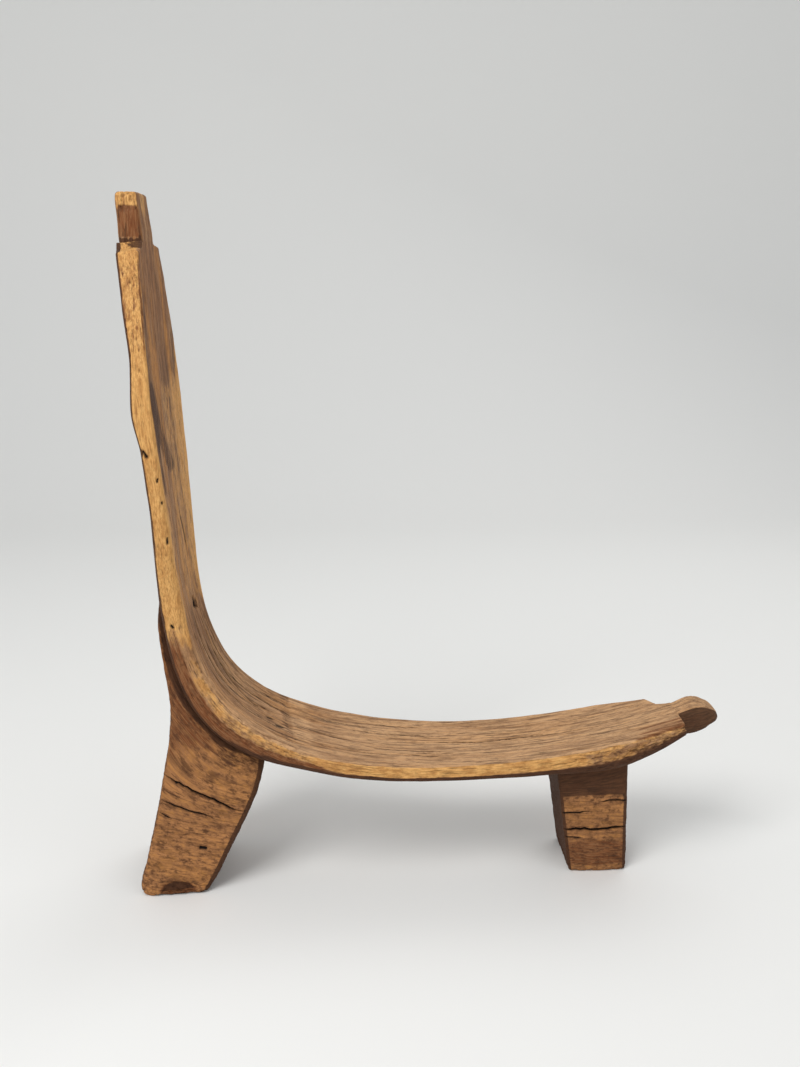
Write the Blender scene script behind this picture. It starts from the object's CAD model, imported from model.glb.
import math
import bpy
import numpy as np
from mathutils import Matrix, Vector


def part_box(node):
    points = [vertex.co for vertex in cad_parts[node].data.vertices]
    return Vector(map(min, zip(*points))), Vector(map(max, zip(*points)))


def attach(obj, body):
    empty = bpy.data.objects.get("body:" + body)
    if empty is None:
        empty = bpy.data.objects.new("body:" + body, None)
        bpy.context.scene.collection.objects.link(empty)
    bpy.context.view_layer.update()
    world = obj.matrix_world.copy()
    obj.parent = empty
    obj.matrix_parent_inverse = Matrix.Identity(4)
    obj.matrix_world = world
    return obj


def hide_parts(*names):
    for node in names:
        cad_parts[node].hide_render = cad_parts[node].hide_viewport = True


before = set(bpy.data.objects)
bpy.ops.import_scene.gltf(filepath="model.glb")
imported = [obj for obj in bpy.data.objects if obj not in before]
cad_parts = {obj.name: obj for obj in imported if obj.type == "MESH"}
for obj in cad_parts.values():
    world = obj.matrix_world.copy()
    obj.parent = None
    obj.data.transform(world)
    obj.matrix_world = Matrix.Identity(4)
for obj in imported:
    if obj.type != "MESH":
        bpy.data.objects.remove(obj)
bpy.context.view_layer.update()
mm = 0.001
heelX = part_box("rear_leg")[0].x  # side view points count from the heel of the rear leg


# the camera, a pale sweep behind the chair and soft lamps

view = {"place": (-0.0852, -1.1501, 0.6657), "tilt": 76.53, "turn": -2.5, "lens": 37.11}

studio = {
    "paper": (236, 235, 232), "paperRough": 0.9, "sky": (0.94, 0.97, 1.0, 1), "skyPower": 0.52,
    "halfWidth": 7.0, "front": -5.0, "back": 1.7, "sweep": 1.2, "sweepSteps": 25, "top": 6.0,
    "lamps": {  # place, power, size
        "key": ((-1.1, -1.5, 2.3), 46, 1.3),
        "fill": ((1.7, -1.6, 1.3), 7, 2.4),
        "rim": ((0.9, 1.3, 1.9), 10, 1.4),
    },
    "aim": (0.0, 0.0, 0.3),
}


def linear(red, green, blue):
    # a display colour, 0 to 255, as a shader wants it
    shades = [c / 255 for c in (red, green, blue)]
    return [c / 12.92 if c <= 0.04045 else ((c + 0.055) / 1.055) ** 2.4 for c in shades] + [1]


def linked(name, data):
    thing = bpy.data.objects.new(name, data)
    bpy.context.scene.collection.objects.link(thing)
    return thing


def setCamera():
    lens = bpy.data.cameras.new("camera")
    lens.lens = view["lens"]
    camera = linked("camera", lens)
    camera.location = view["place"]
    camera.rotation_euler = (math.radians(view["tilt"]), 0, math.radians(view["turn"]))
    bpy.context.scene.camera = camera


def setStudio():
    sweep, back, half = studio["sweep"], studio["back"], studio["halfWidth"]
    turns = np.linspace(0, math.pi / 2, studio["sweepSteps"])
    side = [(studio["front"], 0.0)]
    side += [(back + sweep * math.sin(turn), sweep * (1 - math.cos(turn))) for turn in turns]
    side.append((back + sweep, studio["top"]))
    points = [(x, y, z) for y, z in side for x in (-half, half)]
    quads = [(2 * i, 2 * i + 1, 2 * i + 3, 2 * i + 2) for i in range(len(side) - 1)]
    mesh = bpy.data.meshes.new("floor")
    mesh.from_pydata(points, [], quads)
    mesh.polygons.foreach_set("use_smooth", [True] * len(quads))
    paper = bpy.data.materials.new("palePaper")
    paper.use_nodes = True
    shader = paper.node_tree.nodes["Principled BSDF"]
    shader.inputs["Base Color"].default_value = linear(*studio["paper"])
    shader.inputs["Roughness"].default_value = studio["paperRough"]
    mesh.materials.append(paper)
    linked("floor", mesh)
    world = bpy.data.worlds.new("world")
    bpy.context.scene.world = world
    world.use_nodes = True
    sky = world.node_tree.nodes["Background"]
    sky.inputs["Color"].default_value = studio["sky"]
    sky.inputs["Strength"].default_value = studio["skyPower"]
    for name, (place, power, size) in studio["lamps"].items():
        lamp = bpy.data.lights.new(name, "AREA")
        lamp.energy, lamp.size = power, size
        thing = linked(name, lamp)
        thing.location = place
        aim = np.array(studio["aim"]) - np.array(place)
        tilt, turn = math.atan2(np.hypot(*aim[:2]), -aim[2]), math.atan2(aim[1], aim[0])
        thing.rotation_euler = (tilt, 0, turn - math.pi / 2)
    bpy.context.scene.view_settings.view_transform = "Standard"


# curves and fades

def fade(value, start, end):
    # 0 before start, 1 past end, smooth between
    t = np.clip((value - start) / (end - start), 0, 1)
    return t * t * (3 - 2 * t)


def between(value, start, full, drop, end):
    # rises from start to full and falls from drop to end
    return fade(value, start, full) * (1 - fade(value, drop, end))


def curve(t, gap, start, end, startSlope, endSlope):
    # from start to end over a gap, leaving and arriving at the slopes
    rest = 1 - t
    return ((1 + 2 * t) * rest**2 * start + t * t * (3 - 2 * t) * end
            + gap * (t * rest**2 * startSlope - t * t * rest * endSlope))


def eased(at, stations):
    # a size between its stations, on a smooth curve that never swings past them
    places, sizes = np.array(list(stations)), np.array(list(stations.values()), float)
    steps = np.diff(sizes) / np.diff(places)
    slope = np.concatenate([steps[:1], np.zeros(len(steps) - 1), steps[-1:]])
    for i, (a, b) in enumerate(zip(steps, steps[1:])):
        slope[i + 1] = 0 if a * b <= 0 else 2 * a * b / (a + b)
    at = np.clip(at, places[0], places[-1])
    i = np.clip(np.searchsorted(places, at, side="right") - 1, 0, len(places) - 2)
    gap = places[i + 1] - places[i]
    t = (at - places[i]) / gap
    return curve(t, gap, sizes[i], sizes[i + 1], slope[i], slope[i + 1])


def smoothLine(points, count=1500):
    # a smooth line through side view points in mm; metres from here on
    points = np.array(points, float) * mm + np.array([heelX, 0])
    knots = lengthAlong(points)
    last = len(points) - 1
    degree = min(3, last)
    gaps = np.diff(knots)
    system = np.zeros((last + 1, last + 1))
    wanted = np.zeros_like(points)
    for row, near in ((0, slice(0, degree + 1)), (last, slice(last - degree, last + 1))):
        system[row, row] = 1
        for axis in (0, 1):
            fit = np.polyfit(knots[near], points[near, axis], degree)
            wanted[row, axis] = np.polyval(np.polyder(fit), knots[row])
    for i in range(1, last):
        before, after = gaps[i - 1], gaps[i]
        system[i, i - 1:i + 2] = after, 2 * (before + after), before
        wanted[i] = 3 * (after / before * (points[i] - points[i - 1])
                         + before / after * (points[i + 1] - points[i]))
    slopes = np.linalg.solve(system, wanted)
    at = np.linspace(0, knots[-1], count)
    i = np.clip(np.searchsorted(knots, at, side="right") - 1, 0, last - 1)
    gap = gaps[i][:, None]
    t = (at - knots[i])[:, None] / gap
    return curve(t, gap, points[i], points[i + 1], slopes[i], slopes[i + 1])


def lengthAlong(line):
    return np.concatenate([[0], np.cumsum(np.hypot(*np.diff(line, axis=0).T))])


def pointAt(line, share):
    # a place on a line by its share of the line's length
    run = lengthAlong(line)
    at = np.asarray(share) * run[-1]
    return np.stack([np.interp(at, run, line[:, 0]), np.interp(at, run, line[:, 1])], -1)


def fromPath(flat, path):
    # distance from flat points to a path, and how far along it each one lies, 0 to 1
    path = np.array(path, float)
    run = lengthAlong(path)
    nearest, along = np.full(len(flat), 1e9), np.zeros(len(flat))
    for i, (start, end) in enumerate(zip(path, path[1:])):
        step = end - start
        share = np.clip((flat - start) @ step / (step @ step), 0, 1)
        distance = np.hypot(*(flat - start - share[:, None] * step).T)
        closer = distance < nearest
        nearest[closer] = distance[closer]
        along[closer] = (run[i] + share * (run[i + 1] - run[i]))[closer] / run[-1]
    return nearest, along


def blob(first, second, centre, radii, core=0.45):
    # 1 in the middle of an oval, 0 outside it
    away = np.hypot((first - centre[0]) / radii[0], (second - centre[1]) / radii[1])
    return 1 - fade(away, core, 1.0)


# skins: rings of points with four rounded corners, one for each level of a member

cornerSteps = 9


def rings(lowP, highP, lowQ, highQ, corners, countP, countQ):
    # corners are radii at (lowP, highQ), (highP, highQ), (highP, lowQ), (lowP, lowQ)
    near, far, farUnder, nearUnder, lowP, highP, lowQ, highQ = [
        np.asarray(size, float)[:, None] for size in (*corners, lowP, highP, lowQ, highQ)]
    flatP, flatQ = np.linspace(0, 1, countP + 1)[None], np.linspace(0, 1, countQ + 1)[None]
    turn = np.linspace(0, math.pi / 2, cornerSteps + 1)[None, 1:-1]
    p, q, outP, outQ = [], [], [], []

    def add(placeP, placeQ, normalP, normalQ):
        shape = np.broadcast_shapes(placeP.shape, placeQ.shape)
        for kept, value in ((p, placeP), (q, placeQ), (outP, normalP), (outQ, normalQ)):
            kept.append(np.broadcast_to(value, shape))

    def corner(centreP, centreQ, radius, start):
        c, s = np.cos(start - turn), np.sin(start - turn)
        add(centreP + radius * c, centreQ + radius * s, c, s)

    zero, one = np.zeros((1, 1)), np.ones((1, 1))
    add(lowP + near + (highP - far - lowP - near) * flatP, highQ + 0 * flatP, zero, one)
    corner(highP - far, highQ - far, far, math.pi / 2)
    add(highP + 0 * flatQ, highQ - far - (highQ - far - lowQ - farUnder) * flatQ, one, zero)
    corner(highP - farUnder, lowQ + farUnder, farUnder, 0)
    add(highP - farUnder - (highP - farUnder - lowP - nearUnder) * flatP, lowQ + 0 * flatP, zero, -one)
    corner(lowP + nearUnder, lowQ + nearUnder, nearUnder, -math.pi / 2)
    add(lowP + 0 * flatQ, lowQ + nearUnder + (highQ - near - lowQ - nearUnder) * flatQ, -one, zero)
    corner(lowP + near, highQ - near, near, math.pi)
    return [np.concatenate(x, axis=1) for x in (p, q, outP, outQ)]


def rounding(distance, radius):
    # how far a rounded end draws the ring in, at a distance from the end
    left = radius - np.minimum(distance, radius)
    return radius - np.sqrt(np.clip(radius**2 - left**2, 0, None))


def woven(u, v, first, last, left, right, corners):
    # a patch between four edges; corners are the ends of the first edge and of the last
    a, b, c, d = corners
    return ((1 - v) * first + v * last + (1 - u) * left + u * right
            - (1 - v) * ((1 - u) * a + u * b) - v * ((1 - u) * c + u * d))


def endPatch(values, countP, countQ, ringStart, innerStart):
    # closes a ring with a patch of quads; returns the inner points and the faces
    tall = countQ + 2 * cornerSteps
    top = np.arange(countP + 1)
    farSide = countP + np.arange(tall + 1)
    bottom = (countP + tall + np.arange(countP + 1))[::-1]
    nearSide = ((2 * countP + tall + np.arange(tall + 1)) % len(values))[::-1]
    u, v = np.linspace(0, 1, countP + 1)[None, :, None], np.linspace(0, 1, tall + 1)[:, None, None]
    corners = values[[top[0], top[-1], bottom[0], bottom[-1]]]
    inner = woven(u, v, values[top][None], values[bottom][None], values[nearSide][:, None],
                  values[farSide][:, None], corners)[1:-1, 1:-1]
    grid = np.zeros((tall + 1, countP + 1), int)
    grid[0], grid[-1] = ringStart + top, ringStart + bottom
    grid[:, -1], grid[:, 0] = ringStart + farSide, ringStart + nearSide
    grid[1:-1, 1:-1] = innerStart + np.arange(inner[..., 0].size).reshape(inner.shape[:2])
    quads = np.stack([grid[:-1, :-1], grid[:-1, 1:], grid[1:, 1:], grid[1:, :-1]], -1).reshape(-1, 4)
    return inner.reshape(-1, values.shape[1]), quads


def skin(values, countP, countQ):
    # levels x ring x columns, the first three of them a place, made a closed shell of quads
    levels, size, columns = values.shape
    flat = values.reshape(-1, columns)
    level, step = np.arange(levels - 1)[:, None] * size, np.arange(size)[None]
    ahead = (step + 1) % size
    corners = [level + step, level + ahead, level + size + ahead, level + size + step]
    quads = np.stack(corners, -1).reshape(-1, 4)
    start, startQuads = endPatch(values[0], countP, countQ, 0, len(flat))
    end, endQuads = endPatch(values[-1], countP, countQ, (levels - 1) * size, len(flat) + len(start))
    flat = np.concatenate([flat, start, end])
    faces = np.concatenate([quads, startQuads[:, ::-1], endQuads])
    a, b, c, d = [flat[faces[:, k], :3] for k in range(4)]
    volume = np.einsum("ij,ij->", a, np.cross(b, c)) + np.einsum("ij,ij->", a, np.cross(c, d))
    return flat, faces if volume > 0 else faces[:, ::-1], len(quads)


# what is painted on a skin: three paints steer the carving, the rest the colours

paints = ("groove", "chipped", "pitted", "worn", "tanned", "russet", "banded", "soot", "split")


def stored(mesh, name, values):
    kind, key = ("FLOAT", "value") if values.ndim == 1 else ("FLOAT_VECTOR", "vector")
    mesh.attributes.new(name, kind, "POINT").data.foreach_set(key, values.astype(np.float32).ravel())


def taken(items, key, width, kind=np.float32):
    values = np.zeros(len(items) * width, kind)
    items.foreach_get(key, values)
    return values.reshape(-1, width)


def meshFrom(name, columns, faces):
    # columns: place, grain place, paints
    mesh = bpy.data.meshes.new(name)
    mesh.vertices.add(len(columns))
    mesh.vertices.foreach_set("co", columns[:, :3].astype(np.float32).ravel())
    mesh.loops.add(faces.size)
    mesh.loops.foreach_set("vertex_index", faces.astype(np.int32).ravel())
    mesh.polygons.add(len(faces))
    mesh.polygons.foreach_set("loop_start", np.arange(0, faces.size, 4, dtype=np.int32))
    mesh.update(calc_edges=True)
    stored(mesh, "grainPlace", columns[:, 3:6])
    for k, paint in enumerate(paints):
        stored(mesh, paint, columns[:, 6 + k])
    mesh.polygons.foreach_set("use_smooth", np.ones(len(faces), bool))
    return linked(name, mesh)


def columnsOf(count, painted):
    return np.column_stack([np.broadcast_to(np.ravel(painted.get(name, 0.0)), count) for name in paints])


def masksOf(stops, measures):
    # how far each mask holds; two stops make a fade and four a rise and a fall
    return {name: (fade if len(places) == 2 else between)(measures[key], *places)
            for key, group in stops.items() for name, places in group.items()}


def layered(patches, masks):
    # each paint is a sum of patches: a strength and the masks that narrow it, "-" for all but one
    painted = {}
    for paint, rows in patches.items():
        painted[paint] = 0.0
        for row in rows.split(", "):
            strength, *names = row.split()
            strength = float(strength)
            for name in names:
                strength = strength * (1 - masks[name[1:]] if name[0] == "-" else masks[name])
            painted[paint] = painted[paint] + strength
    return painted


cracks = {
    "seed": 5, "sway": 0.45, "step": 5.0,  # mm; a long crack swerves once in each step
    "taper": 0.22, "thinnest": 0.25,  # shares of its length and of its width
    "dark": (0.2, 0.75),  # where across it the wood turns dark
}


def wandering(path, pick):
    # a path with small seeded swerves, in mm
    path = np.array(path, float)
    steps = int(lengthAlong(path)[-1] / cracks["step"])
    fine = pointAt(path, np.linspace(0, 1, max(3, steps + 1)))
    return fine + pick.normal(0, cracks["sway"], fine.shape)


def marked(flat, marks, mask=1.0):
    # the groove and the dark that cracks and holes leave
    groove, split = np.zeros(len(flat)), np.zeros(len(flat))
    pick = np.random.default_rng(cracks["seed"])
    for path, wide, deep, dark in marks.values():
        long = len(path) > 2
        away, along = fromPath(flat, wandering(path, pick) if long else path)
        toEnd = np.minimum(along, 1 - along)
        narrow = np.clip(toEnd / cracks["taper"], cracks["thinnest"], 1) if long else 1
        shape = np.exp(-(away / (wide * narrow)) ** 2) * mask
        groove = np.maximum(groove, deep * shape)
        split = np.maximum(split, dark * fade(shape, *cracks["dark"]))
    return groove * mm, split


def nodeTools(tree):
    # what the carving tree and the wood's material are both built with
    def added(kind, inputs=(), **settings):
        # a node with its settings, and with its inputs linked or set
        node = tree.nodes.new(kind)
        for key, value in settings.items():
            setattr(node, key, value)
        for key, value in dict(inputs).items():
            if isinstance(value, bpy.types.NodeSocket):
                tree.links.new(value, node.inputs[key])
            else:
                node.inputs[key].default_value = value
        return node

    def maths(operation, a, b, clamp=False):
        return added("ShaderNodeMath", {0: a, 1: b}, operation=operation, use_clamp=clamp).outputs[0]

    def times(first, *others):
        for other in others:
            first = maths("MULTIPLY", first, other)
        return first

    def spread(*values):
        # a smooth step: value, where it starts and is full, what it then gives if not 0 to 1
        return added("ShaderNodeMapRange", enumerate(values), interpolation_type="SMOOTHSTEP").outputs[0]

    return added, maths, times, spread


# the carver's surface: tool facets, raised grain, chips and worm pits, all cut inwards

carving = {"facetDepth": 1.8, "facetLength": 46, "facetWidth": 17, "grainDepth": 0.6, "lift": 1.0,
           "grainLength": 55, "grainWidth": 2.6, "chipDepth": 1.7, "chipLength": 8, "chipWidth": 4.5,
           "pitDepth": 1.6, "pitLength": 9, "pitWidth": 4.2, "seed": 4.0}

carvingEdges = {"chip": (0.46, 0.60), "pits": (0.48, 0.56), "pitSharpness": 3.2}


def carvedSurface():
    tree = bpy.data.node_groups.new("carvedSurface", "GeometryNodeTree")

    def socket(name, kind, way="INPUT"):
        return tree.interface.new_socket(name, in_out=way, socket_type="NodeSocket" + kind)

    socket("Geometry", "Geometry")
    for name, value in carving.items():
        socket(name, "Float").default_value = value
    socket("finish", "Material")
    socket("Geometry", "Geometry", "OUTPUT")
    added, maths, times, spread = nodeTools(tree)
    sizes = added("NodeGroupInput").outputs

    def named(name, kind="FLOAT"):
        node = added("GeometryNodeInputNamedAttribute", {"Name": name}, data_type=kind)
        return node.outputs["Attribute"]

    def stretched(length, width):
        # the grain place counted in cells of a length and a width given in mm
        edges = enumerate(times(sizes[key], mm) for key in (length, width, width))
        cell = added("ShaderNodeCombineXYZ", edges).outputs[0]
        return added("ShaderNodeVectorMath", {0: grain, 1: cell}, operation="DIVIDE").outputs[0]

    def noise(length, width, detail, roughness=0.5):
        inputs = {"Vector": stretched(length, width), "W": sizes["seed"], "Scale": 1, "Detail": detail,
                  "Roughness": roughness}
        return added("ShaderNodeTexNoise", inputs, noise_dimensions="4D").outputs[0]

    grain = named("grainPlace", "FLOAT_VECTOR")
    facets = times(noise("facetLength", "facetWidth", 1), sizes["facetDepth"])
    relief = times(noise("grainLength", "grainWidth", 3, 0.6), sizes["grainDepth"])
    chip = spread(noise("chipLength", "chipWidth", 2, 0.6), *carvingEdges["chip"])
    chip = times(chip, named("chipped"))
    cells = added("ShaderNodeTexVoronoi", {"Scale": 1, "Vector": stretched("pitLength", "pitWidth")})
    hole = times(cells.outputs["Distance"], carvingEdges["pitSharpness"])
    hole = maths("SUBTRACT", 1, hole, clamp=True)
    infested = spread(noise("facetWidth", "facetWidth", 2), *carvingEdges["pits"])
    hole = times(hole, infested, named("pitted"))
    total = maths("ADD", maths("ADD", facets, relief), times(chip, sizes["chipDepth"]))
    total = maths("SUBTRACT", maths("ADD", total, times(hole, sizes["pitDepth"])), sizes["lift"])
    depth = maths("ADD", times(total, mm), named("groove"))
    inputs = {0: added("GeometryNodeInputNormal").outputs[0], "Scale": times(depth, -1)}
    inward = added("ShaderNodeVectorMath", inputs, operation="SCALE")
    last = sizes["Geometry"]
    for name, value in (("pit", hole), ("chip", chip)):
        inputs = {"Name": name, "Geometry": last, "Value": value}
        keep = added("GeometryNodeStoreNamedAttribute", inputs, data_type="FLOAT", domain="POINT")
        last = keep.outputs[0]
    last = added("GeometryNodeSetPosition", {"Geometry": last, "Offset": inward.outputs[0]}).outputs[0]
    last = added("GeometryNodeRealizeInstances", {0: last}).outputs[0]
    last = added("GeometryNodeSetMaterial", {"Geometry": last, "Material": sizes["finish"]}).outputs[0]
    added("NodeGroupOutput", {0: last})
    return tree


def carve(thing, finish, **changed):
    # runs the tree on a piece and leaves a plain mesh
    modifier = thing.modifiers.new("carved", "NODES")
    modifier.node_group = carvedTree
    items = carvedTree.interface.items_tree
    ids = {item.name: item.identifier for item in items if item.in_out == "INPUT"}
    for name, value in {**carving, **changed}.items():
        modifier[ids[name]] = float(value)
    modifier[ids["finish"]] = finish
    bpy.context.view_layer.update()
    graph = bpy.context.evaluated_depsgraph_get()
    mesh = bpy.data.meshes.new_from_object(
        thing.evaluated_get(graph), preserve_all_data_layers=True, depsgraph=graph)
    thing.modifiers.remove(modifier)
    old, thing.data = thing.data, mesh
    bpy.data.meshes.remove(old)
    return thing


# aged wood, handled and oiled until the edges went golden

tones = {
    "gold": (228, 176, 108), "honey": (192, 133, 72), "tan": (208, 164, 120), "brown": (140, 97, 63),
    "umber": (82, 52, 34), "russet": (122, 70, 38), "amber": (186, 130, 82), "soot": (45, 31, 25),
    "split": (18, 12, 9),
}

finishes = {  # tones, roughness and how strong each layer shows
    "slabWood": {"light": "tan", "mid": "brown", "gloss": "gold", "rough": 0.60, "checks": 0.62,
                 "crackle": 0.3, "figure": 0.475, "streak": 0.646, "mottle": 0.42, "flecks": 0.15},
    "legWood": {"light": "amber", "mid": "brown", "gloss": "honey", "rough": 0.64, "checks": 0.35,
                "crackle": 0.8, "figure": 0.25, "streak": 0.34, "mottle": 0.75, "flecks": 0.6},
}

layers = {  # cells along and across the grain in mm, detail, roughness, shift
    "broad": (140, 13, 3, 0.55, 0.0), "bands": (250, 27, 3, 0.6, 21.0), "crackle": (9, 5, 5, 0.75, 15.5),
    "streak": (52, 3, 5, 0.64, 3.1), "figure": (80, 5, 4, 0.6, 12.6), "fibre": (20, 0.95, 4, 0.62, 7.7),
    "mottle": (19, 9, 6, 0.7, 1.3), "crumbs": (3.4, 2.2, 4, 0.72, 9.4), "dashes": (26, 1.5, 3, 0.55, 5.2),
}

sheen = {"specular": 0.14, "bump": 0.8, "bumpDepth": 0.0012, "wornGain": 0.08, "mottleLoss": 0.12,
         "fibreRange": (-0.07, 0.12)}


def agedWood(name):
    finish = finishes[name]
    material = bpy.data.materials.new(name)
    material.use_nodes = True
    shader = material.node_tree.nodes["Principled BSDF"]
    added, maths, times, spread = nodeTools(material.node_tree)

    def painted(name, output="Fac"):
        node = added("ShaderNodeAttribute", attribute_type="GEOMETRY", attribute_name=name)
        return node.outputs[output]

    def noise(along, across, detail, roughness, shift):
        scale = (1 / mm / along, 1 / mm / across, 1 / mm / across)
        place = added("ShaderNodeMapping", {"Vector": grain, "Scale": scale, "Location": (shift,) * 3})
        inputs = {"Vector": place.outputs[0], "Scale": 1, "Detail": detail, "Roughness": roughness}
        return added("ShaderNodeTexNoise", inputs).outputs[0]

    def ragged(value, by, amount=0.9):
        # a painted patch with an uneven edge
        return spread(maths("ADD", value, times(maths("SUBTRACT", by, 0.5), amount)), 0.36, 0.64)

    def mix(factor, a, b):
        a, b = (linear(*tones[x]) if isinstance(x, str) else x for x in (a, b))
        return added("ShaderNodeMix", {0: factor, 6: a, 7: b}, data_type="RGBA").outputs[2]

    grain = painted("grainPlace", "Vector")
    broad, bands, crackle, streak, figure, fibre, mottle, crumbs, dashes = (
        noise(*sizes) for sizes in layers.values())
    checks = times(spread(dashes, 0.585, 0.65), spread(broad, 0.40, 0.60, 0.25, 1.0))
    tanned = times(painted("tanned"), 0.85)
    light = maths("ADD", tanned, spread(broad, 0.36, 0.64, -0.1, 0.35), clamp=True)
    colour = mix(light, finish["mid"], finish["light"])
    banded = painted("banded")
    colour = mix(times(spread(bands, 0.52, 0.64, 0, 0.6), banded), colour, "umber")
    colour = mix(times(spread(bands, 0.50, 0.40), banded), colour, "honey")
    for layer, start, full, most, tone in ((figure, 0.50, 0.66, finish["figure"], "umber"),
                                           (streak, 0.50, 0.68, finish["streak"], "umber"),
                                           (streak, 0.46, 0.30, 0.40, "honey"),
                                           (crackle, 0.48, 0.34, finish["flecks"], "honey")):
        colour = mix(spread(layer, start, full, 0, most), colour, tone)
    worn = ragged(times(painted("worn"), 1.05), mottle, 1.25)
    dulled = maths("SUBTRACT", 1, times(worn, 0.5))
    gloss = mix(spread(fibre, 0.36, 0.66, 0, 0.7), finish["gloss"], "honey")
    colour = mix(worn, colour, mix(spread(mottle, 0.44, 0.64, 0, 0.6), gloss, "honey"))
    colour = mix(times(worn, spread(streak, 0.54, 0.74, 0, 0.5)), colour, "brown")
    reddened = mix(spread(fibre, 0.35, 0.65), "brown", "russet")
    colour = mix(ragged(painted("russet"), streak), colour, reddened)
    uneven = maths("ADD", times(streak, 0.6), times(mottle, 0.4))
    soot = times(ragged(painted("soot"), uneven, 1.5), 0.92)
    colour = mix(soot, colour, mix(spread(fibre, 0.40, 0.66), "umber", "soot"))
    for layer, start, full, most in ((mottle, 0.50, 0.70, finish["mottle"]), (fibre, 0.46, 0.72, 0.40),
                                     (crackle, 0.47, 0.64, finish["crackle"])):
        colour = mix(times(spread(layer, start, full, 0, most), dulled), colour, "umber")
    colour = mix(times(painted("chip"), spread(crumbs, 0.40, 0.64, 0.0, 0.6)), colour, "umber")
    colour = mix(times(checks, finish["checks"], dulled), colour, "soot")
    colour = mix(maths("MULTIPLY", painted("pit"), 0.8, clamp=True), colour, "soot")
    colour = mix(painted("split"), colour, "split")
    dull = spread(fibre, 0.3, 0.7, *(finish["rough"] + change for change in sheen["fibreRange"]))
    dull = maths("ADD", dull, times(mottle, sheen["mottleLoss"]))
    height = maths("ADD", times(fibre, 0.5), times(streak, 0.6))
    height = maths("SUBTRACT", maths("ADD", height, times(crumbs, 0.4)), times(checks, 0.7))
    inputs = {"Strength": sheen["bump"], "Distance": sheen["bumpDepth"], "Height": height}
    bump = added("ShaderNodeBump", inputs).outputs[0]
    rough = maths("SUBTRACT", dull, times(worn, sheen["wornGain"]))
    for key, value in (("Base Color", colour), ("Roughness", rough), ("Normal", bump)):
        material.node_tree.links.new(value, shader.inputs[key])
    shader.inputs["Specular IOR Level"].default_value = sheen["specular"]
    return material


# the slab: back, crook and seat in one run; shares count along its sitting face

slab = {
    "face": ((34, 694), (44, 556), (55, 404), (67, 300), (97, 227), (160, 178), (250, 153), (352, 147),
             (474, 158), (597, 184)),
    "width": {0: 122, 0.15: 184, 0.30: 154, 0.40: 119, 0.50: 128, 0.60: 143, 0.75: 127, 0.90: 119, 1: 90},
    "rim": {0: 22, 0.06: 20, 0.11: 17, 0.165: 21, 0.20: 17.5, 0.25: 17, 0.30: 19, 0.34: 22, 0.40: 27,
            0.50: 33, 0.60: 18, 0.75: 17, 0.84: 20, 0.92: 27, 0.955: 23.5, 1: 13.5},
    "belly": {0: 6, 0.40: 6, 0.50: 6, 0.60: 10, 0.75: 10, 0.90: 16, 1: 10},
    "dish": {0: 0, 0.12: 3, 0.50: 4, 0.90: 3, 1: 0},
    "nearTop": {0: 4, 0.10: 4, 0.25: 7, 0.35: 10, 0.42: 13, 0.50: 15, 0.60: 8, 0.75: 5, 0.90: 7, 1: 8},
    "farTop": {0: 4, 0.10: 3, 0.40: 4, 0.50: 5, 0.60: 4, 1: 4},
    "under": {0: 4.5, 0.30: 5, 0.40: 7, 0.50: 10, 0.60: 6, 0.75: 5, 0.90: 8, 1: 4}, "farUnder": 0.7,
    "points": 4000, "stepAlong": 1.5, "countAcross": 112, "countRim": 20, "endRound": 3.5, "endSteps": 7,
    # the shoulders' set back and how far it reaches, the tab's half width and the rounding beside it
    "head": {"drop": (10, 4), "tabHalf": 31, "beside": (27, 32), "reach": 42},
    "toe": {"drop": (-1, 23), "tabHalf": 16, "beside": (16, 20), "reach": 75},
    "notch": (-1, 6), "steepest": 1.2,
    "cuts": {"back_board": 0.352, "crook": 0.560, "seat_board": 1.0},  # where each board ends
}

faceLine = smoothLine(slab["face"], slab["points"])
faceRun = lengthAlong(faceLine)
faceSlope = np.gradient(faceLine, faceRun, axis=0)
slabLength = faceRun[-1]


def offFace(along, across, up):
    # a place given in the slab's own unrolled measures, all in metres
    x, z = (np.interp(along, faceRun, faceLine[:, k]) for k in (0, 1))
    dx, dz = (np.interp(along, faceRun, faceSlope[:, k]) for k in (0, 1))
    size = np.hypot(dx, dz)
    return np.stack([x - dz / size * up, np.broadcast_to(across, x.shape), z + dx / size * up], -1)


def underFace(x, z, coarse=6, batch=20000):
    # the unrolled measures of side view places: along the slab and above its face
    along, up = np.zeros_like(x), np.zeros_like(x)
    line, run = faceLine[::coarse], faceRun[::coarse]
    for start in range(0, len(x), batch):
        part = slice(start, start + batch)
        gap = np.hypot(x[part, None] - line[None, :, 0], z[part, None] - line[None, :, 1])
        best = gap.argmin(1)
        along[part], up[part] = run[best], -gap[np.arange(len(best)), best]
    return along, up


def shoulder(across, end, edgeHalf):
    # how far the cut shoulders stand back from the slab's end, beside the tab
    past = np.abs(across) - end["tabHalf"] * mm
    slope = np.clip(past / (edgeHalf - end["tabHalf"] * mm), 0, slab["steepest"])
    notch = fade(past, *(place * mm for place in slab["notch"]))
    return (slope + notch) / 2 * np.where(across < 0, *end["drop"]) * mm


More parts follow.
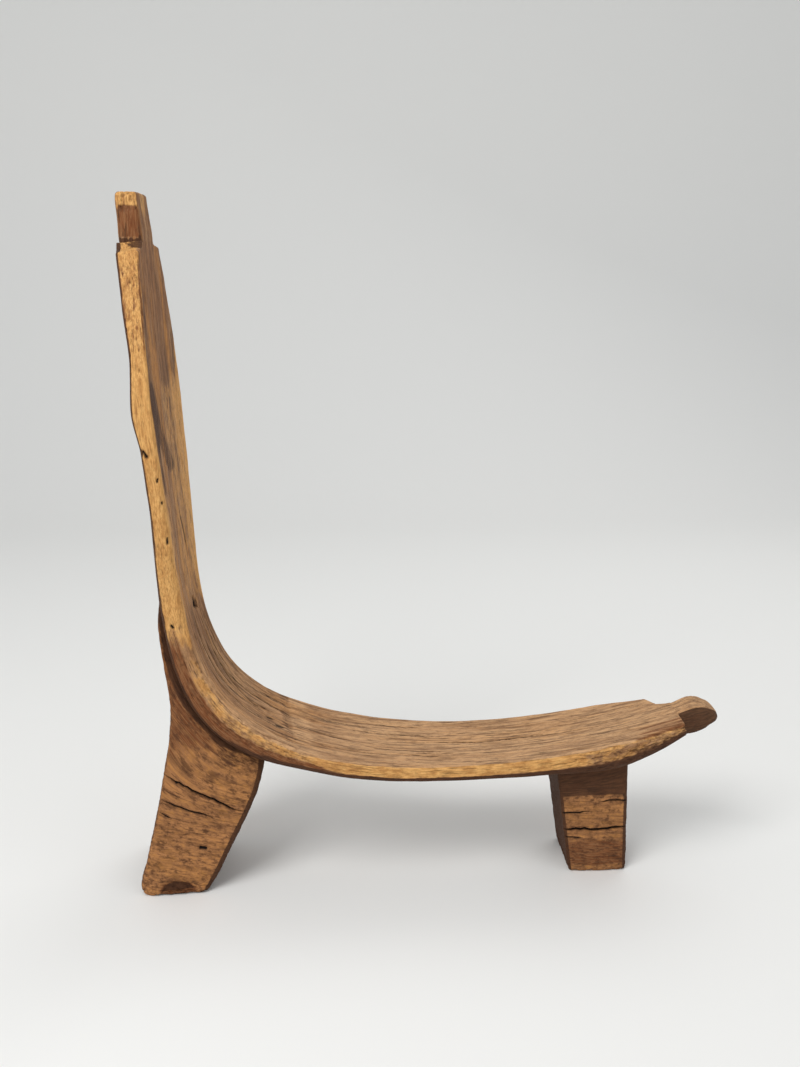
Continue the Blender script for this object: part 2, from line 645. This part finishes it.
def slabRings():
    # place, unrolled place and outward direction of every point of the slab's skin
    ends = slab["endRound"] * mm
    lead = ends * (1 - np.cos(np.linspace(0, math.pi / 2, slab["endSteps"])[:-1]))
    middle = np.arange(ends, slabLength - ends, slab["stepAlong"] * mm)
    levels = np.concatenate([lead, middle, (slabLength - lead)[::-1]])
    size = {key: eased(levels / slabLength, slab[key]) * mm
            for key in ("width", "rim", "belly", "dish", "nearTop", "farTop", "under")}
    half, rim = size["width"] / 2, size["rim"]
    corners = (size["nearTop"], size["farTop"], size["under"] * slab["farUnder"], size["under"])
    p, q, outP, outQ = rings(-half, half, -rim, 0 * half, corners, slab["countAcross"], slab["countRim"])
    toEnds = {"head": levels[:, None], "toe": (slabLength - levels)[:, None]}
    inset = sum(rounding(away, ends) * fade(np.abs(p) / mm, *slab[key]["beside"])
                for key, away in toEnds.items())
    bulge = np.clip(1 - (p / half[:, None]) ** 2, 0, 1)
    level = np.clip((q + rim[:, None]) / rim[:, None], 0, 1)
    q = q - bulge * (level * size["dish"][:, None] + (1 - level) * size["belly"][:, None])
    p, q = p - inset * outP, q - inset * outQ
    along = toEnds["head"]
    for key, edgeHalf, way in (("head", half[0], 1), ("toe", half[-1], -1)):
        fading = np.clip(1 - toEnds[key] / (slab[key]["reach"] * mm), 0, 1)
        along = along + way * shoulder(p, slab[key], edgeHalf) * fading
    grain = np.stack([along, p, q], -1)
    return levels, np.concatenate([offFace(along, p, q), grain, outP[..., None], outQ[..., None]], -1)


slabMarks = {  # on the sitting face: path along and across the slab, half width, depth, in mm; dark
    "crookSplit": (((404, 27), (424, 30), (442, 29), (481, 20), (515, 7), (548, 13)), 1.5, 2.6, 1),
    "seatSplit": (((692, 8), (732, 9), (777, 6), (821, 8), (868, 5), (910, 2)), 1.1, 1.8, 1),
    "backStreak": (((280, 10), (303, 22), (324, 29)), 3.0, 1.0, 0.8),
    "knotHole": (((378, 12), (385, 20), (392, 28)), 5.5, 4.5, 1),
    "knot": (((548, -16), (552, -14)), 3.4, 1.4, 0.8),
    "smallKnot": (((535, -8), (539, -6)), 2.4, 1.2, 0.8),
    "figureLine": (((553, 64), (555, 44), (560, 24), (558, 4), (564, -14), (566, -26), (569, -36)),
                   4.5, 1.2, 0.1),
    "bendPit": (((408, -27), (413, -25)), 1.8, 1.4, 1),
}

rimMarks = {  # on the near rim: along the slab and above its face
    "nick": (((199, -15), (204, -12)), 2.2, 3.0, 1),
    "bendPit": (((384, -17), (386, -16)), 1.7, 1.8, 1),
    "edgePit": (((227, -4), (230, -5)), 1.2, 1.4, 1),
    "edgePitLower": (((251, -3), (253, -3)), 1.1, 1.2, 1),
    "edgePitThird": (((289, -3), (294, -4)), 1.4, 1.5, 1),
}

drying = {  # fine seeded splits that follow the grain, on the crook's face and on the underside, in mm
    "seed": 11,
    "face": {"count": 20, "start": (380, 700), "length": (35, 110), "across": (-44, 50), "lean": (-4, 4),
             "wide": (0.8, 1.2), "deep": (0.8, 1.6), "bowed": 0.7, "dark": 0.8},
    "under": {"count": 12, "start": (20, 860), "length": (60, 170), "across": (-50, 50), "lean": (-6, 6),
              "wide": (0.9, 1.6), "deep": (1.2, 2.6), "bowed": 0.8, "dark": 1.0},
}

slabStops = {  # where each mask rises, and where it falls again
    "along": {  # mm along the slab
        "back": (430, 360), "bend": (385, 450, 560, 625), "seat": (560, 640), "lipRun": (480, 560),
        "waist": (180, 260, 360, 430), "belowHead": (90, 160), "headFace": (140, 70),
        "headRim": (12, 25, 90, 140), "headPits": (15, 30, 110, 170), "headShade": (20, 60, 230, 300),
        "headTan": (110, 180), "pastHead": (250, 420), "betweenEnds": (170, 240, 960, 990),
        "toeRim": (850, 900), "toeRimShade": (880, 940), "toeChips": (850, 890, 1000, 1010),
        "toeFace": (900, 950), "toeRusset": (915, 965),
    },
    "figure": {"figureDark": (546, 554, 558, 565), "figurePale": (562, 567, 576, 592)},
    "across": {  # mm from the middle, far side positive
        "middle": (-30, -5, 20, 45), "farHalf": (20, 52), "nearCorner": (-10, -30), "nearHalf": (-8, -30),
        "besideTab": (-27, -31), "nextToTab": (-47, -37),
    },
    "outward": {  # from the middle, 0, to the edge, 1
        "outer": (0.35, 0.80), "edge": (0.84, 0.98), "brink": (0.9, 1), "chipEdge": (0.84, 0.97),
        "shadeBand": (0.62, 0.80, 0.92, 0.98), "paleBand": (0.55, 0.75, 0.92, 1.0),
    },
    "depth": {  # down the rim, 0 to 1
        "lipDepth": (0.60, 0.86), "rimTop": (0.64, 0.40), "rimLow": (0.42, 0.66), "rimChips": (0.8, 0.62),
    },
    "outQ": {"top": (0.35, 0.85), "under": (-0.35, -0.85)},
    "sideways": {"side": (0.35, 0.85)},
    "pastEnd": {"atEnd": (2.5, 0.8)},
    "fromStain": {"stain": (18, 4)},
}

slabPatches = {
    "worn": "0.98 side back, 0.80 side seat -lip, -0.336 side seat -lip toeRim, "
            "0.48 side bend rimTop, 0.45 top edge back, 0.2 top edge bend, 0.3 top edge seat, "
            "0.5 under brink, 0.5 top near waist outer, 0.46 top back belowHead middle, "
            "0.58 top back belowHead farHalf",
    "russet": "1 side bend rimLow, 0.4 under back, 0.5 side lip, 0.45 top headFace, "
              "0.52 top toeRusset nearHalf, 0.42 side near headRim, 0.3 side pastHead",
    "banded": "0.9 top back, 0.45 top bend, 0.15 top seat",
    "soot": "0.50 under, 0.35 under near, 1 side lip, 0.42 top figureDark, "
            "0.52 top near headShade shadeBand, 0.56 top stain, 0.95 cutEnd nextToTab, "
            "0.45 side near toeRimShade",
    "tanned": "0.15 top back, 0.2 top back headTan, 0.46 top bend, 1 top seat, 0.3 side, 1 cutEnd, "
              "0.5 top near bend paleBand, 0.7 top figurePale",
    "chipped": "1 side near bend rimChips, 0.4 side near seat, 0.2 side near back, "
               "0.7 side near toeChips, 0.3 side -near, 1 top near bend chipEdge",
    "pitted": "1 side near headPits, 0.12 side betweenEnds, 0.15 under",
}

slabSpots = {
    "figureLean": 0.15,  # how much the figure line runs askew
    "stain": ((148, -30), (168, -26), (190, -20), (208, -12), (226, -2)), "stainSquash": 0.42,
    "toeCornerWear": 0.8,  # how much of its wear the near toe corner has lost
}


def dryingSplits():
    # the face's, then the underside's
    pick = np.random.default_rng(drying["seed"])
    for side in (drying["face"], drying["under"]):
        splits = {}
        for k in range(side["count"]):
            start, length, across, lean, wide, deep = (
                pick.uniform(*side[key]) for key in ("start", "length", "across", "lean", "wide", "deep"))
            path = ((start, across), (start + length / 2, across + lean * side["bowed"]),
                    (start + length, across + lean))
            splits[k] = (path, wide, deep, side["dark"])
        yield splits


def paintSlab(columns):
    # paints for every point of the slab, from its unrolled place
    along, across, up = (columns[:, 3:6] / mm).T
    outP, outQ = columns[:, 6:8].T
    share = columns[:, 3] / slabLength
    half, rim = eased(share, slab["width"]) / 2, eased(share, slab["rim"])
    squashed = np.column_stack([along, slabSpots["stainSquash"] * across])
    masks = masksOf(slabStops, {
        "along": along, "figure": along + slabSpots["figureLean"] * across, "across": across,
        "outward": np.abs(across) / half, "depth": np.clip(-up / rim, 0, 1), "outQ": outQ,
        "sideways": np.abs(outP), "fromStain": fromPath(squashed, slabSpots["stain"])[0],
        "pastEnd": along - shoulder(columns[:, 4], slab["head"], half * mm) / mm,
    })
    near, side, top, under = (across < 0) * 1.0, masks["side"], masks["top"], masks["under"]
    masks.update(near=near, lip=masks["lipDepth"] * masks["lipRun"],
                 cutEnd=near * masks["atEnd"] * masks["besideTab"] * (1 - under))
    face, rimFace = np.column_stack([along, across]), np.column_stack([along, up])
    faceSplits, underSplits = dryingSplits()
    groove, split = np.zeros(len(along)), np.zeros(len(along))
    for flat, marks, mask in ((face, slabMarks, top), (face, faceSplits, top), (face, underSplits, under),
                              (rimFace, rimMarks, near * np.maximum(side, 1 - top - under))):
        cut, dark = marked(flat, marks, mask)
        groove, split = np.maximum(groove, cut), np.maximum(split, dark)
    painted = layered(slabPatches, masks)
    atCorner = masks["toeFace"] * masks["nearCorner"] * (1 - side)
    painted["worn"] *= 1 - slabSpots["toeCornerWear"] * atCorner
    for paint in ("chipped", "pitted"):
        painted[paint] = np.clip(painted[paint], 0, 1)
    return columnsOf(len(along), {**painted, "groove": groove, "split": split})


def makeSlab(finish):
    levels, columns = slabRings()
    size = columns.shape[1]
    counts = (slab["countAcross"], slab["countRim"])
    flat = columns.reshape(-1, columns.shape[2])
    flat = np.concatenate([flat[:, :6], paintSlab(flat)], 1)
    whole, faces, _ = skin(flat.reshape(len(levels), size, -1), *counts)
    carved = carve(meshFrom("wholeSlab", whole, faces), finish)
    mesh = carved.data
    extra = [taken(mesh.attributes[name].data, "value", 1) for name in ("pit", "chip")]
    done = np.column_stack([taken(mesh.vertices, "co", 3), whole[:, 3:], *extra,
                            taken(mesh.vertex_normals, "vector", 3)])
    done = done[:len(flat)].reshape(len(levels), size, -1)
    bpy.data.objects.remove(carved)
    pieces, first = [], 0
    for name, share in slab["cuts"].items():
        last = int(np.abs(levels / slabLength - share).argmin())
        column, quads, sides = skin(done[first:last + 1], *counts)
        pieces.append((boardFrom(name, column, quads, sides, size, last - first, finish), name))
        first = last
    return pieces


def boardFrom(name, column, quads, sides, size, lastLevel, finish):
    # one board of the slab; its sides keep the whole slab's shading, so no seam shows
    thing = meshFrom(name + "_wood", column[:, :-5], quads)
    mesh = thing.data
    stored(mesh, "pit", column[:, -5])
    stored(mesh, "chip", column[:, -4])
    mesh.materials.append(finish)
    ring = taken(mesh.edges, "vertices", 2, np.int32) // size
    seam = (ring[:, 0] == ring[:, 1]) & ((ring[:, 0] == 0) | (ring[:, 0] == lastLevel))
    mesh.edges.foreach_set("use_edge_sharp", seam)
    corner = column[quads.ravel(), -3:]
    a, b, c, d = [column[quads[:, k], :3] for k in range(4)]
    flatNormal = np.cross(c - a, d - b)
    flatNormal /= np.maximum(np.linalg.norm(flatNormal, axis=1), 1e-12)[:, None]
    capped = np.repeat(np.arange(len(quads)) >= sides, 4)
    corner[capped] = np.repeat(flatNormal, 4, axis=0)[capped]
    mesh.normals_split_custom_set(corner.tolist())
    return thing


# legs: a flank bounded by four side view lines, carried across the chair

rearLeg = {
    "rear": ((4, 0), (0.8, 5), (0.8, 14), (6.4, 36), (14.5, 68), (22.8, 103), (31.5, 147), (37.5, 178),
             (39, 236), (30, 318), (38, 352)),
    "front": ((66, 0), (73, 2), (78.5, 9), (107, 66), (136, 138), (137, 158), (130, 172)),
    "root": ((38, 352), (52, 318), (60, 285), (88, 218), (130, 172)),
    "sole": ((4, 0), (66, 0)),
    "near": {0: 58, 240: 55, 352: 25}, "far": {0: 57, 240: 55, 352: 25},
    "bulge": 9, "bulgeHeight": 90,  # the near flank swells a little above the sole
    "scoop": ((41, 3), (29, 20)), "scoopDeep": 4.5,  # broken out of the near side of the sole
    "rearRound": 5, "frontRound": 7, "soleRound": 3.5,
    "levels": 250, "dense": (0.24, 0.60), "countChord": 104, "countDepth": 34,
    "levelBelow": (70, 190), "fibre": (420, -215, 0.20),  # where the fibres level out, and how
    "marks": {  # from the heel and above the floor
        "longSplit": (((30, 142), (46, 130), (65, 119), (92, 105), (103, 98), (116, 96)), 1.3, 4.0, 1),
        "lowSplit": (((27, 112), (42, 104), (58, 97), (81, 89)), 1.1, 2.6, 1),
        "shortSplit": (((24, 97), (30, 93), (37, 89)), 0.9, 1.6, 1),
        "hole": (((67, 54), (72, 53)), 2.2, 3.0, 1),
        "peck": (((44, 131), (46, 131)), 1.6, 1.4, 1),
    },
    "stops": {
        "x": {"heelward": (10, 25, 60, 90), "underBend": (70, 95, 140, 150)},
        "y": {"nearSide": (-30, -50)},
        "z": {"lowHalf": (15, 50, 95, 150), "foot": (60, 20), "high": (130, 190), "aboveSole": (3, 9),
              "neck": (138, 150, 176, 200), "brink": (22, 8), "pitsAt": (10, 40, 120, 160)},
        "along": {"crookRun": (380, 420, 500, 540)},
        "belowRim": {"seam": (13, 3), "shoulderBand": (12, 22, 34, 52)},
        "outP": {"frontFace": (0.10, 0.28), "rearFace": (-0.6, -0.95)},
        "sideways": {"flank": (0.4, 0.9)},
        "scooped": {"inScoop": (0.3, 0.9)},
    },
    "patches": {
        "marked": "1 near nearSide",
        "worn": "0.30 flank lowHalf, 0.25 flank heelward foot, 0.4 near crookRun shoulderBand",
        "russet": "0.66 flank high, 1 scoop",
        "soot": "1.2 frontFace, 0.55 rearFace, 0.95 seam near, 0.4 flank neck underBend, "
                "0.8 inScoop aboveSole",
        "tanned": "0.6 flank", "banded": "0.25", "chipped": "0.2, 0.5 brink",
        "pitted": "0.2 flank pitsAt",
    },
}

frontLeg = {
    "rear": ((477, 0), (456, 146)),
    "front": ((544, 0), (538, 161)),
    "root": ((456, 146), (538, 161)),
    "sole": ((477, 0), (544, 0)),
    "near": {0: 31, 158: 39}, "far": {0: 46, 158: 55},
    "bulge": 2, "bulgeHeight": 60,
    "rearRound": 4, "frontRound": 6, "soleRound": 3.5,
    "levels": 190, "dense": (0.24, 0.62), "countChord": 88, "countDepth": 46,
    "levelBelow": (60, 150), "fibre": (390, -160, 0.05),
    "marks": {
        "wideSplit": (((462, 53), (490, 53), (512, 52), (546, 56)), 1.7, 4.5, 1),
        "upperSplit": (((455, 74), (478, 74), (497, 76)), 1.1, 2.6, 1),
        "lowSplit": (((468, 45), (480, 43), (491, 42)), 0.9, 1.8, 1),
        "topSplit": (((508, 87), (520, 89), (546, 88)), 1.0, 2.4, 1),
    },
    "stops": {
        "z": {"lowHalf": (34, 50, 84, 96), "foot": (48, 30), "aboveSole": (4, 12), "high": (90, 100),
              "brink": (20, 8), "pitsAt": (60, 30)},
        "endways": {"ends": (0.08, 0.25)},
        "sideways": {"flank": (0.4, 0.9)},
        "outQ": {"nearFlank": (-0.2, -0.5)},
    },
    "patches": {
        "marked": "1 nearFlank", "worn": "0.32 near lowHalf", "russet": "0.9 flank foot aboveSole",
        "soot": "1.2 ends, 0.85 flank high", "tanned": "0.4 flank", "banded": "0.25",
        "chipped": "0.2, 0.4 brink", "pitted": "0.3 flank pitsAt",
    },
}

legShape = {
    "soleShares": (0, 0.0012, 0.003), "sharesFrom": 0.005,  # levels that round the sole
    "denseSpan": (0, 0.2, 0.8, 1),  # the middle levels fall between the dense shares
    "roundMost": 0.45, "bulgeAt": 0.45, "bulgeReach": 0.55,  # of the chord from rear to front
    "nearFace": -0.3, "seed": 7.0,
}


def legRings(leg):
    shape = legShape
    share = np.interp(np.linspace(0, 1, leg["levels"] + 1), shape["denseSpan"], (0, *leg["dense"], 1))
    share = np.concatenate([shape["soleShares"], share[share > shape["sharesFrom"]]])
    rear, front = (pointAt(smoothLine(leg[key]), share) for key in ("rear", "front"))
    chord, height = np.hypot(*(front - rear).T), rear[:, 1]
    near, far = (eased(height / mm, leg[key]) * mm for key in ("near", "far"))
    rearRound, frontRound = (np.minimum(leg[key] * mm, shape["roundMost"] * chord)
                             for key in ("rearRound", "frontRound"))
    p, q, outP, outQ = rings(0 * chord, chord, -near, far, (rearRound, frontRound, frontRound, rearRound),
                             leg["countChord"], leg["countDepth"])
    bow = np.clip(1 - ((p / chord[:, None] - shape["bulgeAt"]) / shape["bulgeReach"]) ** 2, 0, 1)
    low = np.clip(1 - height / (leg["bulgeHeight"] * mm), 0, 1)[:, None]
    q = q - leg["bulge"] * mm * bow * low * (q < 0) * np.abs(q) / near[:, None]
    inset = rounding((height - height[0])[:, None], leg["soleRound"] * mm)
    p, q = p - inset * outP, q - inset * outQ
    e, t = (p / chord[:, None])[..., None], share[:, None, None]
    sole, root = (pointAt(smoothLine(leg[key]), e[..., 0]) for key in ("sole", "root"))
    corners = rear[0], front[0], rear[-1], front[-1]
    flank = woven(e, t, sole, root, rear[:, None], front[:, None], corners)
    place = np.stack([flank[..., 0], q, np.maximum(flank[..., 1], 0)], -1)
    return np.concatenate([place, outP[..., None], outQ[..., None]], -1)


def legGrain(leg, x, y, z, along, up):
    # fibres run with the slab near it and level out further down
    level = 1 - fade(z / mm, *leg["levelBelow"])
    alongShift, upShift, lean = leg["fibre"]
    flatAlong, flatUp = x - heelX + alongShift * mm, z + upShift * mm + lean * (x - heelX)
    return np.stack([along + (flatAlong - along) * level, y, up + (flatUp - up) * level], -1)


def paintLeg(leg, x, y, z, along, up, outP, outQ):
    # x from the heel; x, y and z in mm, along and up in metres
    near = (outQ < legShape["nearFace"]) * 1.0
    scoop = near * blob(x, z, *leg["scoop"]) if "scoop" in leg else 0 * near
    masks = masksOf(leg["stops"], {
        "x": x, "y": y, "z": z, "along": along / mm, "outP": outP, "outQ": outQ, "endways": np.abs(outP),
        "sideways": np.abs(outQ), "scooped": scoop,
        "belowRim": -up / mm - eased(along / slabLength, slab["rim"]),
    })
    masks.update(near=near, scoop=scoop)
    painted = layered(leg["patches"], masks)
    groove, split = marked(np.column_stack([x, z]), leg["marks"], painted["marked"])
    groove = np.maximum(groove, leg.get("scoopDeep", 0) * mm * scoop)
    return columnsOf(len(x), {**painted, "groove": groove, "split": split})


def makeLeg(name, leg, finish):
    rows = legRings(leg)
    levels, size = rows.shape[:2]
    x, y, z, outP, outQ = rows.reshape(-1, rows.shape[2]).T
    along, up = underFace(x, z)
    painted = paintLeg(leg, (x - heelX) / mm, y / mm, z / mm, along, up, outP, outQ)
    values = np.column_stack([x, y, z, legGrain(leg, x, y, z, along, up), painted])
    column, faces, _ = skin(values.reshape(levels, size, -1), leg["countChord"], leg["countDepth"])
    return carve(meshFrom(name + "_wood", column, faces), finish, seed=legShape["seed"]), name


# tabs at the two ends

headTab = {
    "from": 674, "to": 740,  # above the floor
    "front": {674: 33, 694: 34, 718: 32, 732: 30.5, 740: 30},
    "rear": {674: 18, 694: 10, 718: 9, 732: 8, 740: 8.5},
    "half": {674: 28.5, 694: 31, 718: 30, 732: 29, 740: 28.5},
    "round": 5.0, "endRound": 3.5, "levels": 64, "endLevels": 7, "countAcross": 46, "countThick": 16,
    "stops": {
        "path": {"crown": (712, 731), "root": (700, 693), "facet": (732, 722), "pastRoot": (694, 700),
                 "chips": (716, 724)},
        "across": {"middle": (-20, -8, 4, 16)},
        "outP": {"nearFacet": (-0.45, -0.85), "farEdge": (0.4, 0.8)},
        "outQ": {"face": (0.5, 0.9), "behind": (-0.4, -0.8), "arris": (0.15, 0.35, 0.6, 0.8)},
    },
    "patches": {
        "worn": "0.80 nearFacet crown, 0.3 farEdge, 0.25 crown, 0.35 face middle",
        "soot": "0.8 nearFacet root, 0.2 face -crown, 0.25 behind, 0.5 arris -crown near",
        "russet": "0.95 nearFacet facet pastRoot, 0.35 face",
        "banded": "0.5", "tanned": "0.2", "chipped": "1 nearFacet chips", "pitted": "0.1",
    },
}

toeTab = {
    "from": -26, "to": 43.5,  # ahead of the slab's end
    "front": {-26: -4, 0: 0.4, 8: 1.6, 18: 2.6, 26: 1.4, 35: -3.2, 43.5: -10},
    "rear": {-26: -13, 0: -27, 10: -29, 22: -27, 34: -23.5, 43.5: -21},
    "half": {-26: 15, 0: 17.5, 10: 18, 24: 19, 36: 18, 43.5: 14},
    "round": 4.4, "endRound": 3.5, "levels": 60, "endLevels": 7, "countAcross": 32, "countThick": 16,
    "stops": {"outQ": {"top": (0.3, 0.8), "under": (-0.2, -0.7)}, "sideways": {"side": (0.35, 0.8)}},
    "patches": {
        "worn": "0.2 top", "soot": "0.95 under, 1 side", "tanned": "1",
        "chipped": "0.25", "pitted": "0.1",
    },
}


def tabRings(tab):
    end, ends = tab["to"], tab["endRound"]
    path = tab["from"] + (end - tab["from"]) * np.linspace(0, 1, tab["levels"] + 1)
    rounded = end - ends * (1 - np.sin(np.linspace(0, math.pi / 2, tab["endLevels"])))
    path = np.concatenate([path[path < end - ends], rounded])
    high, low, half = (eased(path, tab[key]) * mm for key in ("front", "rear", "half"))
    corner = tab["round"] * mm + 0 * half
    p, q, outP, outQ = rings(-half, half, low, high, (corner,) * 4, tab["countAcross"], tab["countThick"])
    inset = rounding((end - path)[:, None] * mm, ends * mm)
    return (path * mm)[:, None] + 0 * p, p - inset * outP, q - inset * outQ, outP, outQ


def makeTab(name, tab, place, grain, p, path, outP, outQ, finish):
    masks = masksOf(tab["stops"], {"path": path / mm, "across": p / mm, "outP": outP, "outQ": outQ,
                                   "sideways": np.abs(outP)})
    masks["near"] = outP < 0
    painted = columnsOf(path.size, layered(tab["patches"], masks))
    values = np.concatenate([place, grain, painted.reshape(*path.shape, -1)], -1)
    column, faces, _ = skin(values, tab["countAcross"], tab["countThick"])
    return carve(meshFrom(name + "_wood", column, faces), finish), name


def makeHeadTab(finish):
    path, p, q, outP, outQ = tabRings(headTab)
    topX, topZ = slab["face"][0]
    place = np.stack([heelX + q, p, path], -1)
    grain = np.stack([topZ * mm - path, p, q - topX * mm], -1)
    return makeTab("head_tab", headTab, place, grain, p, path, outP, outQ, finish)


def makeToeTab(finish):
    path, p, q, outP, outQ = tabRings(toeTab)
    ahead = faceSlope[-1] / np.hypot(*faceSlope[-1])
    place = offFace(slabLength + 0 * path, p, q) + path[..., None] * np.array([ahead[0], 0, ahead[1]])
    grain = np.stack([slabLength + path, p, q], -1)
    return makeTab("toe_tab", toeTab, place, grain, p, path, outP, outQ, finish)


setCamera()
setStudio()
carvedTree = carvedSurface()
slabWood, legWood = agedWood("slabWood"), agedWood("legWood")
print("finishes ready")
pieces = makeSlab(slabWood)
print("slab ready")
pieces += [makeLeg("rear_leg", rearLeg, legWood), makeLeg("front_leg", frontLeg, legWood)]
print("legs ready")
pieces += [makeHeadTab(slabWood), makeToeTab(slabWood)]
print("tabs ready")
for thing, node in pieces:
    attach(thing, "root")
    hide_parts(node)
    print(node, len(thing.data.polygons), "faces")
